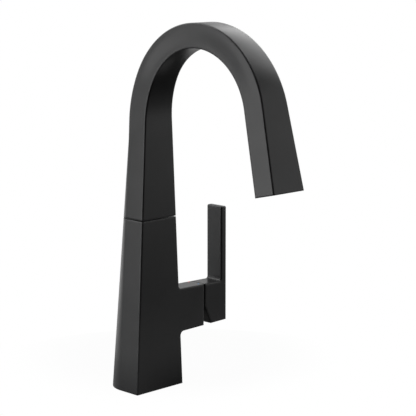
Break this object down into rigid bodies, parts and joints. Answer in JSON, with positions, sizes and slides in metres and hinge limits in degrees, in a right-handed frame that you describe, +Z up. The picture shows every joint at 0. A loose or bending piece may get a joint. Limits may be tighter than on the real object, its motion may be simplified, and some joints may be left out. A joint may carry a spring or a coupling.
{
  "type": "gooseneck bar faucet",
  "caption": "Single-handle gooseneck bar faucet: a flat-sided tapering column, a swivelling square arch spout and a side lever handle with an upright blade.",
  "frame": {"origin": "centre of the mounting shank at deck level, on the foot's underside", "axes": "+Z up; the spout reaches over the sink towards -Y; the handle stands on the +X side"},
  "size_m": [0.1259, 0.2274, 0.4277],
  "materials": {
    "satin_black": "satin",
    "black_plastic": "matte",
    "grey_plastic": "matte",
    "white_plastic": "matte",
    "hose_plastic": "matte",
    "ceramic": "polished",
    "brass": "machined",
    "steel": "brushed",
    "seal_rubber": "matte",
    "hot_red": "gloss",
    "cold_blue": "gloss"
  },
  "bodies": {
    "column": {"body_column": "satin_black", "hot_mark": "hot_red", "cold_mark": "cold_blue", "base_gasket": "seal_rubber", "mounting_shank": "brass", "deck_rubber_washer": "seal_rubber", "deck_steel_washer": "steel", "mounting_nut": "brass", "swivel_bush": "white_plastic", "glide_ring": "black_plastic", "riser_tube": "brass", "riser_seals": "seal_rubber", "cartridge_base": "white_plastic", "port_seals": "seal_rubber", "cartridge_seal": "seal_rubber", "fixed_disc": "ceramic", "cartridge_sleeve": "white_plastic", "cartridge_nut": "brass"},
    "spout": {"spout_shell": "satin_black", "spout_spigot": "brass", "spigot_seals": "seal_rubber", "spigot_inner_seal": "seal_rubber", "thrust_washer": "white_plastic", "retaining_clip": "steel", "flange_screws": "steel", "spout_hose": "hose_plastic", "lower_ferrule": "steel", "upper_ferrule": "steel", "aerator_housing": "black_plastic", "aerator_insert": "grey_plastic", "aerator_washer": "seal_rubber", "outlet_adapter": "brass", "flow_regulator": "white_plastic"},
    "stem_yoke": {"stem_carrier": "white_plastic", "pivot_pin": "steel"},
    "lever": {"valve_stem": "steel", "stem_adapter": "brass", "handle": "satin_black", "handle_set_screw": "steel", "plug_button": "black_plastic"},
    "mixing_disc": {"moving_disc": "ceramic", "disc_carriage": "white_plastic"}
  },
  "joints": [
    {"name": "spout_swivel", "type": "hinge", "parent": "column", "child": "spout", "pos_m": [0, -0.0095, 0.1745], "axis": [0, 0, 1], "continuous": true},
    {"name": "handle_turn", "type": "hinge", "parent": "column", "child": "stem_yoke", "pos_m": [0.053, -0.01595, 0.0767], "axis": [1, 0, 0], "range_deg": [-45, 45]},
    {"name": "handle_tilt", "type": "hinge", "parent": "stem_yoke", "child": "lever", "pos_m": [0.053, -0.01595, 0.0767], "axis": [0, 1, 0], "range_deg": [0, 22]},
    {"name": "disc_slide", "type": "slide", "parent": "stem_yoke", "child": "mixing_disc", "axis": [0, 0, 1], "range_m": [0, 0.00345]}
  ],
  "couplings": [
    {"joint": "disc_slide", "follows": "handle_tilt", "m_per_rad": 0.00896}
  ]
}
